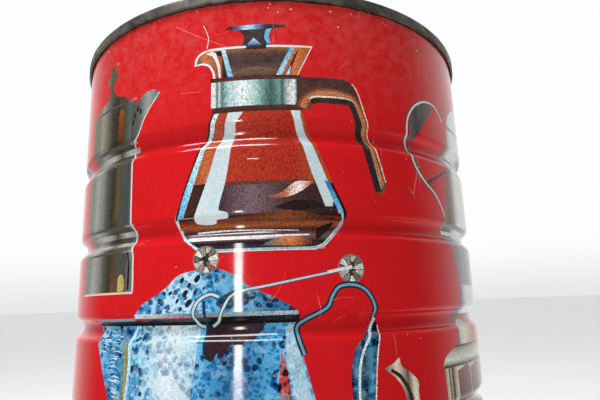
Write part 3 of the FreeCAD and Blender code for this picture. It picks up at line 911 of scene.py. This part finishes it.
def lathe(name, section, material, shift, steps=ROUND_STEPS, sharp=40):
    """Turn a closed cross-section about the axis. Points on the axis become one vertex each."""
    vertices, rings = [], []
    for radius, height in section:
        count = 1 if abs(radius) < 1e-6 else steps
        ring = []
        for i in range(count):
            angle = 2 * math.pi * i / steps
            r, h = shift(radius, height, angle)
            ring.append(len(vertices))
            vertices.append((r * math.cos(angle) * MM, r * math.sin(angle) * MM, h * MM))
        rings.append(ring * (steps // count))
    faces = []
    for a, b in zip(rings, rings[1:] + rings[:1]):
        for i in range(steps):
            j = (i + 1) % steps
            corners = list(dict.fromkeys((a[i], a[j], b[j], b[i])))
            if len(corners) > 2:
                faces.append(corners)
    return sheet_piece(name, vertices, faces, material, sharp)


def ring_faces(a, b, count):
    """Quads between two rings of count vertices, whose first vertices are a and b."""
    return [(a + i, a + (i + 1) % count, b + (i + 1) % count, b + i) for i in range(count)]


def sheet_piece(name, vertices, faces, material, sharp=50):
    """A piece whose faces look outwards and are smooth but for the sharp edges."""
    mesh = bpy.data.meshes.new(name)
    mesh.from_pydata(vertices, [], faces)
    mesh.materials.append(material)
    work = bmesh.new()
    work.from_mesh(mesh)
    bmesh.ops.recalc_face_normals(work, faces=work.faces)
    work.to_mesh(mesh)
    work.free()
    mesh.polygons.foreach_set("use_smooth", np.ones(len(mesh.polygons), bool))
    mesh.set_sharp_from_angle(angle=math.radians(sharp))
    return add_piece(name, mesh)


def uneven(amount, waves, seed):
    """A slow wobble round the can, the same every run."""
    rng = random.Random(seed)
    parts = [(n, rng.uniform(0, 2 * math.pi), rng.uniform(0.4, 1.0) / len(waves)) for n in waves]
    return lambda angle: amount * sum(size * math.sin(n * angle + phase) for n, phase, size in parts)


def seamed_end(lean):
    """An end's outside at the top of the can, from its cover hook's tip to its chuck wall."""
    bend = Bend(SEAM_RADIUS - 2 * COVER_BEND, CAN_HEIGHT - SEAM_HEIGHT + COVER_HOOK, -90)
    bend.line(COVER_HOOK - COVER_BEND)
    bend.arc(COVER_BEND, 180)
    bend.line(SEAM_HEIGHT - COVER_BEND - SEAM_SHOULDER, 4)
    bend.arc(SEAM_SHOULDER, 90)
    bend.line(bend.at[0] - MOUTH_RADIUS - SEAM_SHOULDER)
    bend.arc(SEAM_SHOULDER, 90 - lean)
    return bend


def knocked_in(knock, radius, angle):
    """The radius after small knocks, which reach only the seam's outermost band."""
    share = min(1, max(0, (radius - SEAM_RADIUS + KNOCKED_BAND) / KNOCKED_BAND))
    return radius - abs(knock(angle)) * share


def make_top_rim(material):
    """The seamed rim, with the cut edge that the opener left and a few knocks along its shoulder."""
    bend = seamed_end(0)
    bend.line(RIM_DEPTH - SEAM_SHOULDER, 5)
    knock = uneven(0.1, (5, 9, 14, 23), 4)
    ragged = uneven(CUT_RAGGED, (17, 29, 43, 61, 87), 9)

    def shift(radius, height, angle):
        if CAN_HEIGHT - height > RIM_DEPTH - CUT_BAND:
            height += CUT_LIFT + ragged(angle)
        return knocked_in(knock, radius, angle), height

    return lathe("seamed_rim", bend.section(0, END_PLATE), material, shift)


def make_bottom(material):
    """The bottom end: double seam, countersink, stiffening rings and panel."""
    bend = seamed_end(CHUCK_LEAN)
    bend.line(COUNTERSINK_DEPTH - COUNTERSINK_RADIUS - SEAM_SHOULDER, 3)
    bend.arc(COUNTERSINK_RADIUS, CHUCK_LEAN - 180)
    bend.arc(PANEL_EDGE_RADIUS, 90)
    half_ring = RING_TOP / 2 + 2 * RING_BEND * math.sin(math.radians(RING_ANGLE))
    for radius in RING_RADII:
        bend.line(bend.at[0] - radius - half_ring, 2)
        bend.arc(RING_BEND, RING_ANGLE)
        bend.arc(RING_BEND, -RING_ANGLE)
        bend.line(RING_TOP)
        bend.arc(RING_BEND, -RING_ANGLE)
        bend.arc(RING_BEND, RING_ANGLE)
    bend.line(bend.at[0], 8)
    section = [(max(r, 0.0), CAN_HEIGHT - h) for r, h in bend.section(0, END_PLATE)]
    knock = uneven(0.08, (6, 11, 19, 31), 12)

    def shift(radius, height, angle):
        return knocked_in(knock, radius, angle), height

    return lathe("seamed_bottom", section, material, shift)


def make_body_sheet(material):
    """The tinplate under the print: the beaded wall with both its hooks, lacquered inside."""
    wall_end = HOOK_TOP + PLATE + BODY_BEND
    z = np.array(wall_heights(wall_end, CAN_HEIGHT - wall_end))
    u = np.arange(SHEET_STEPS) * 2 * HALF_ROUND / SHEET_STEPS
    grid_u, grid_z = np.meshgrid(u, z)
    wall, normals = on_body(grid_u, grid_z), body_normals(grid_u, grid_z)
    angle = u / BODY_RADIUS - math.pi / 2
    outward = np.stack([np.cos(angle), np.sin(angle)], -1)

    def hook(low_end, skin):
        """Rings of a rolled-out hook, skin away from the body's outside, from the wall to the tip."""
        base, way = (z[0], -1) if low_end else (z[-1], 1)
        radius = BODY_BEND + skin
        places = []
        for i in range(HOOK_STEPS):
            turn = math.pi * (i + 1) / HOOK_STEPS
            places.append((BODY_BEND - radius * math.cos(turn), base + way * radius * math.sin(turn)))
        places.append((BODY_BEND + radius, base - way * (HOOK_LENGTH - PLATE - BODY_BEND)))
        level = np.ones((SHEET_STEPS, 1))
        return [np.concatenate([outward * (BODY_RADIUS + out), level * h], 1) for out, h in places]

    outer = list(wall - normals * FILM_INSET)
    inner = list(wall - normals * PLATE)
    rings = hook(True, 0)[::-1] + outer + hook(False, 0)
    rings += hook(False, PLATE)[::-1] + inner[::-1] + hook(True, PLATE)
    faces = []
    for row in range(len(rings)):
        faces += ring_faces(row * SHEET_STEPS, (row + 1) % len(rings) * SHEET_STEPS, SHEET_STEPS)
    return sheet_piece("body_sheet", (np.concatenate(rings) * MM).tolist(), faces, material)


def make_strip(name, material, sides, ends, near, far, steps=6, wobble=None):
    """A closed strip of sheet or solder that follows the beaded wall, near and far below its outside."""
    heights = wall_heights(*ends)
    across_strip = np.linspace(*sides, steps + 1)
    us = np.concatenate([across_strip, across_strip[::-1]])
    depths = np.repeat([near, far], steps + 1)
    count = len(us)
    vertices = []
    for z in heights:
        us_here, depth = (us, depths) if wobble is None else wobble(us, depths, z)
        zs = np.full(count, z)
        vertices.append(on_body(us_here, zs) - body_normals(us_here, zs) * depth[:, None])
    last = (len(heights) - 1) * count
    faces = [tuple(range(count))[::-1], tuple(last + i for i in range(count))]
    for start in range(0, last, count):
        faces += ring_faces(start, start + count, count)
    return sheet_piece(name, (np.concatenate(vertices) * MM).tolist(), faces, material)


def make_side_seam(tin, solder):
    """The tucked-in edge of the sheet inside, and the solder line that runs up the back."""
    lap = make_strip("side_seam_lap", tin, (HALF_ROUND - FILM_SLIT, HALF_ROUND + LAP_WIDTH),
        (LAP_LOW, LAP_HIGH), PLATE + LAP_GAP, 2 * PLATE + 0.05)
    rng = random.Random(21)
    phases = [rng.uniform(0, 6.28) for _ in range(4)]

    def beading(us, depth, z):
        """The solder's outside, swelling and wandering a little on its way up."""
        swell = 0.14 * math.sin(z / 2.1 + phases[0]) + 0.1 * math.sin(z / 0.9 + phases[1])
        wander = 0.16 * math.sin(z / 11 + phases[2]) + 0.07 * math.sin(z / 3.3 + phases[3])
        side = us - HALF_ROUND
        crown = np.clip(1 - (side / 1.3) ** 2, 0, 1)
        proud = (0.09 + 0.05 * swell) * crown
        return us + side * swell + wander, np.where(depth < 0.05, depth - proud, depth)

    line = make_strip("side_seam_solder_line", solder,
                      (HALF_ROUND - SOLDER_HALF_WIDTH, HALF_ROUND + SOLDER_HALF_WIDTH),
                      (LAP_LOW - SOLDER_HALF_WIDTH, LAP_HIGH + SOLDER_HALF_WIDTH),
                      0.0, SOLDER_DEPTH, steps=8, wobble=beading)
    return lap, line


# ---- materials ---------------------------------------------------------------------------------
class Nodes:
    """Small helper to write a node tree in plain calls; sizes are in millimetres."""

    def __init__(self, tree):
        self.tree = tree
        self.place = self.add("TexCoord").outputs["Object"]

    def add(self, kind, sockets=None, **settings):
        """A new node of a kind, with its settings, and its sockets set or linked."""
        node = self.tree.nodes.new("ShaderNode" + kind)
        for name, value in settings.items():
            setattr(node, name, value)
        self.set(node, sockets or {})
        return node

    def set(self, node, sockets):
        for name, value in sockets.items():
            socket = node.inputs[name.replace("_", " ")] if isinstance(name, str) else node.inputs[name]
            if isinstance(value, bpy.types.NodeSocket):
                self.tree.links.new(value, socket)
            elif isinstance(value, (tuple, np.ndarray)) and len(socket.default_value) > len(value):
                socket.default_value = (*value, 1)
            else:
                socket.default_value = value

    def attribute(self, name):
        return self.add("Attribute", attribute_name=name).outputs["Vector"]

    def split(self, vector):
        return self.add("SeparateXYZ", {0: vector}).outputs

    def drawn_out(self, z_scale):
        """The object's own coordinates, with what is drawn from them stretched up or round the can."""
        return self.add("Mapping", {"Vector": self.place, "Scale": (1, 1, z_scale)}).outputs["Vector"]

    def noise(self, size, detail=3.0, roughness=0.5, vector=None, distortion=0.0):
        """Smooth noise whose features are about this size."""
        return self.add("TexNoise", {"Vector": vector or self.place, "Scale": 0.5 / (size * MM),
            "Detail": detail, "Roughness": roughness, "Distortion": distortion}).outputs["Fac"]

    def bent(self, amount, size):
        """The object's own coordinates, pushed about by a noise."""
        noise = self.add("TexNoise", {"Vector": self.place, "Scale": 0.5 / (size * MM), "Detail": 2.0})
        push = {0: noise.outputs["Color"], 1: (amount * MM,) * 3, 2: self.place}
        return self.add("VectorMath", push, operation="MULTIPLY_ADD").outputs[0]

    def cells(self, size, vector, feature="F1"):
        sockets = {"Vector": vector, "Scale": 1 / (size * MM)}
        return self.add("TexVoronoi", sockets, feature=feature).outputs["Distance"]

    def times(self, *values):
        product = values[0]
        for value in values[1:]:
            product = self.add("Math", {0: product, 1: value}, operation="MULTIPLY").outputs[0]
        return product

    def plus(self, a, b):
        return self.add("Math", {0: a, 1: b}, operation="ADD").outputs[0]

    def between(self, value, low, high, out_low=0.0, out_high=1.0):
        """A smooth step from out_low to out_high as the value goes from low to high."""
        sockets = {0: value, 1: low, 2: high, 3: out_low, 4: out_high}
        return self.add("MapRange", sockets, interpolation_type="SMOOTHSTEP").outputs[0]

    def mix(self, share, a, b, mode="MIX"):
        return self.add("Mix", {"Factor": share, 6: a, 7: b}, data_type="RGBA", blend_type=mode).outputs[2]

    def shade(self, colour, value):
        """The colour, made darker or lighter by a factor."""
        return self.mix(1.0, colour, self.add("CombineXYZ", {0: value, 1: value, 2: value}).outputs[0],
            "MULTIPLY")

    def bump(self, height, distance, strength=1.0, under=None):
        sockets = {"Height": height, "Distance": distance * MM, "Strength": strength}
        if under is not None:
            sockets["Normal"] = under
        return self.add("Bump", sockets).outputs["Normal"]


class Finish(Nodes):
    """A material's nodes, around its Principled shader."""

    def __init__(self, name, **sockets):
        self.material = bpy.data.materials.new(name)
        self.material.use_nodes = True
        super().__init__(self.material.node_tree)
        self.feed(**sockets)

    def feed(self, **sockets):
        self.set(self.tree.nodes["Principled BSDF"], sockets)


def printed_varnish():
    """Litho inks under gloss varnish: photo grain, enamel speckle, brushed metal and fine wear."""
    n = Finish("printed_varnish", Specular_IOR_Level=0.42)
    colour = n.attribute("ink")
    grain, enamel, brushed = n.split(n.attribute("effect"))
    # photo grain, and slow unevenness of the solid red
    fine = n.noise(0.17, 2.0, 0.6)
    grainy = n.times(n.plus(fine, -0.5), n.times(grain, 3.2))
    slow = n.times(n.plus(n.noise(9.0, 4.0, 0.6), -0.5), 0.22)
    colour = n.shade(colour, n.plus(n.plus(grainy, slow), 1.0))
    # enamel: blue islands of several sizes on a paler ground, a few of them nearly black
    bent = n.bent(1.1, 1.2)
    for size, reach, patch, tint in ((2.2, 0.50, 4.0, (0.20, 0.50, 0.70)),
            (1.1, 0.48, 2.5, (0.22, 0.50, 0.68)), (2.0, 0.44, 3.0, (0.07, 0.15, 0.24))):
        island = n.between(n.cells(size, bent), reach, reach - 0.09)
        patches = n.between(n.noise(patch, 2.0), 0.42, 0.5)
        colour = n.mix(n.times(island, patches, enamel), colour, tint, "MULTIPLY")
    clouds = n.between(n.noise(1.2, 4.0, 0.6), 0.53, 0.62)
    colour = n.mix(n.times(clouds, n.times(enamel, 0.25)), colour, ink(*ICE))
    # brushed metal
    streaks = n.noise(0.26, 3.0, 0.6, n.drawn_out(0.6))
    colour = n.shade(colour, n.plus(n.times(n.plus(streaks, -0.5), n.times(brushed, 2.2)), 1.0))
    # rubbed varnish: pale hairlines and specks, and dust near the top
    hair = n.between(n.cells(16.0, n.drawn_out(0.22), "DISTANCE_TO_EDGE"), 0.006, 0.0)
    rare = n.between(n.noise(7.0, 3.0), 0.6, 0.68)
    colour = n.mix(n.times(hair, rare, 0.35), colour, ink(236, 190, 184))
    specks = n.between(n.noise(0.5, 2.0, 0.5), 0.77, 0.8)
    colour = n.mix(n.times(specks, 0.5), colour, ink(224, 150, 140))
    height = n.split(n.place)[2]
    dust = n.times(n.between(height, 0.12, 0.165), n.between(n.noise(1.4, 5.0, 0.7), 0.3, 0.72), 0.12)
    colour = n.mix(dust, colour, ink(214, 168, 156))
    haze = n.noise(5.0, 5.0, 0.7)
    n.feed(Base_Color=colour, Roughness=n.between(haze, 0.3, 0.75, 0.05, 0.13),
           Normal=n.bump(n.noise(1.6, 2.0), 0.012, 0.6, n.bump(fine, 0.003, 0.4)))
    return n.material


def tinplate(name, tone, dark, rust, roughness, metallic=0.85):
    """Tin over steel: mottled tarnish, fine rolling lines, darker scale and a little rust."""
    n = Finish(name, Metallic=metallic)
    mottling = n.noise(3.2, 6.0, 0.65, distortion=0.4)
    colour = n.mix(n.between(mottling, 0.38, 0.66), ink(*dark), ink(*tone))
    lines = n.noise(0.35, 3.0, 0.6, n.drawn_out(6.0))
    colour = n.shade(colour, n.between(lines, 0.2, 0.8, 0.82, 1.12))
    blotch = n.between(n.noise(1.6, 5.0, 0.7), 0.6, 0.7)
    colour = n.mix(n.times(blotch, rust), colour, ink(92, 56, 34))
    n.feed(Base_Color=colour, Roughness=n.between(mottling, 0.3, 0.7, roughness + 0.14, roughness),
           Normal=n.bump(lines, 0.006, 0.5, n.bump(n.noise(1.2, 4.0), 0.03, 0.5)))
    return n.material


def solder_grey():
    """Dull lead-tin solder, lumpy where it was wiped."""
    n = Finish("solder_grey", Metallic=0.9)
    lumps = n.noise(1.1, 4.0, 0.6)
    colour = n.mix(n.between(lumps, 0.35, 0.65), ink(112, 112, 110), ink(160, 160, 156))
    n.feed(Base_Color=colour, Roughness=n.between(lumps, 0.3, 0.7, 0.5, 0.32), Normal=n.bump(lumps, 0.05,
        0.7))
    return n.material


def seam_compound():
    """The tan rubbery compound inside the double seams."""
    n = Finish("seam_compound", Specular_IOR_Level=0.3)
    cast = n.noise(0.8, 3.0)
    n.feed(Base_Color=n.mix(n.between(cast, 0.3, 0.7), ink(120, 104, 78), ink(150, 132, 100)),
           Roughness=n.between(cast, 0.3, 0.7, 0.8, 0.9), Normal=n.bump(cast, 0.02))
    return n.material


def pale_floor():
    """Nearly white, slightly uneven paint."""
    n = Finish("pale_floor", Roughness=0.6, Specular_IOR_Level=0.2)
    n.feed(Base_Color=n.mix(n.noise(40.0, 3.0), (0.71, 0.71, 0.715), (0.75, 0.75, 0.755)))
    return n.material


# ---- stage -------------------------------------------------------------------------------------
FLOOR_REACH = 40.0
# The camera fitted to the photograph: focal length, place in body radii, and angles in degrees.
FOCAL_LENGTH = 28.68
CAMERA_BACK = 2.667
CAMERA_BELOW_RIM = 1.163
CAMERA_TURN = -2.81
CAMERA_TILT = 102.24
CAMERA_ROLL = -1.88


def add_to_scene(name, data, place=(0, 0, 0)):
    item = bpy.data.objects.new(name, data)
    item.location = place
    bpy.context.scene.collection.objects.link(item)
    return item


def aim(item, target):
    """Turn a light to face a point."""
    item.rotation_euler = (Vector(target) - item.location).to_track_quat("-Z", "Y").to_euler()


def add_panel(name, place_mm, target_mm, width_mm, height_mm, radiance, spread=180):
    """A soft panel light of even brightness: its power follows from its size."""
    light = bpy.data.lights.new(name, "AREA")
    light.shape = "RECTANGLE"
    light.size = width_mm * MM
    light.size_y = height_mm * MM
    light.energy = radiance * math.pi * light.size * light.size_y
    light.spread = math.radians(spread)
    panel = add_to_scene(name, light, Vector(place_mm) * MM)
    panel.visible_camera = False
    aim(panel, Vector(target_mm) * MM)


def make_world():
    """A white room that is dark in front of the can; the camera sees it fade into the floor."""
    world = bpy.data.worlds.new("studio")
    bpy.context.scene.world = world
    world.use_nodes = True
    n = Nodes(world.node_tree)
    x, y, z = n.split(n.add("TexCoord").outputs["Generated"])
    lighting = n.between(n.plus(n.times(x, 0.25), y), 0.0, 0.8, 0.06, 1.0)
    backdrop = n.between(z, -0.03, 0.12, 0.79, 1.0)
    seen = n.add("LightPath").outputs["Is Camera Ray"]
    strength = n.add("Mix", {0: seen, 2: lighting, 3: backdrop}).outputs[0]
    n.set(world.node_tree.nodes["Background"], {"Strength": strength, "Color": (0.98, 0.99, 1.0)})


def make_stage():
    """The pale floor, a big soft light above, a narrow one like a window, and light from behind."""
    mesh = bpy.data.meshes.new("floor")
    corners = [(x, y, 0) for x, y in box(-FLOOR_REACH, -FLOOR_REACH, FLOOR_REACH, FLOOR_REACH)]
    mesh.from_pydata(corners, [], [(0, 1, 2, 3)])
    mesh.materials.append(pale_floor())
    floor = add_to_scene("floor", mesh)
    floor.visible_glossy = False
    floor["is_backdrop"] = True
    make_world()
    add_panel("key", (-165, -212, 558), (0, 0, 110), 350, 160, radiance=18.0)
    add_panel("window", (-115, -344, 77), (-9, -60, 77), 22, 140, radiance=3.1, spread=60)
    sun = bpy.data.lights.new("backlight", "SUN")
    sun.energy = 3.2
    sun.angle = math.radians(50)
    backlight = add_to_scene("backlight", sun, (-0.6, 1.4, 1.2))
    backlight.visible_glossy = False
    aim(backlight, (0, 0, 0))


def make_camera():
    """The photograph's viewpoint: close, low, looking slightly up, with a small turn and roll."""
    data = bpy.data.cameras.new("camera")
    data.sensor_width = 36
    data.lens = FOCAL_LENGTH
    data.clip_start = 0.01
    height = CAN_HEIGHT - SEAM_HEIGHT - CAMERA_BELOW_RIM * BODY_RADIUS
    camera = add_to_scene("camera", data, Vector((0, -CAMERA_BACK * BODY_RADIUS, height)) * MM)
    turn = Euler((0, 0, math.radians(CAMERA_TURN))).to_matrix()
    tilt = Euler((math.radians(CAMERA_TILT), 0, 0)).to_matrix()
    roll = Euler((0, 0, math.radians(CAMERA_ROLL))).to_matrix()
    camera.rotation_euler = (turn @ tilt @ roll).to_euler()
    bpy.context.scene.camera = camera


# ---- build -------------------------------------------------------------------------------------
make_camera()
make_stage()
bpy.context.scene.view_settings.view_transform = "Standard"

draw_print()
draw_wear_and_seam_shadow(random.Random(7))

tin = tinplate("tarnished_tin", (122, 118, 108), (70, 66, 58), 0.45, 0.36, 0.45)
inside_tin = tinplate("lacquered_tin", (214, 196, 150), (188, 168, 122), 0.06, 0.3)
margin_tin = tinplate("bare_margin", (192, 188, 178), (150, 144, 132), 0.22, 0.28)
solder = solder_grey()

body_print = make_print([printed_varnish(), margin_tin])
body_sheet = make_body_sheet(inside_tin)
lap, solder_line = make_side_seam(inside_tin, solder)
rim = make_top_rim(tin)
bottom = make_bottom(tin)
compound = seam_compound()
for node in ("top_seam_compound", "bottom_seam_compound"):
    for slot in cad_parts[node].material_slots:
        slot.material = compound

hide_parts("can_body")
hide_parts("side_seam_solder")
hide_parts("top_end_rim")
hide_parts("bottom_end")

sizes = {"cad": CAD_BOX, "visual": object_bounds()}
{name: [list(map(float, corner)) for corner in corners] for name, corners in sizes.items()}
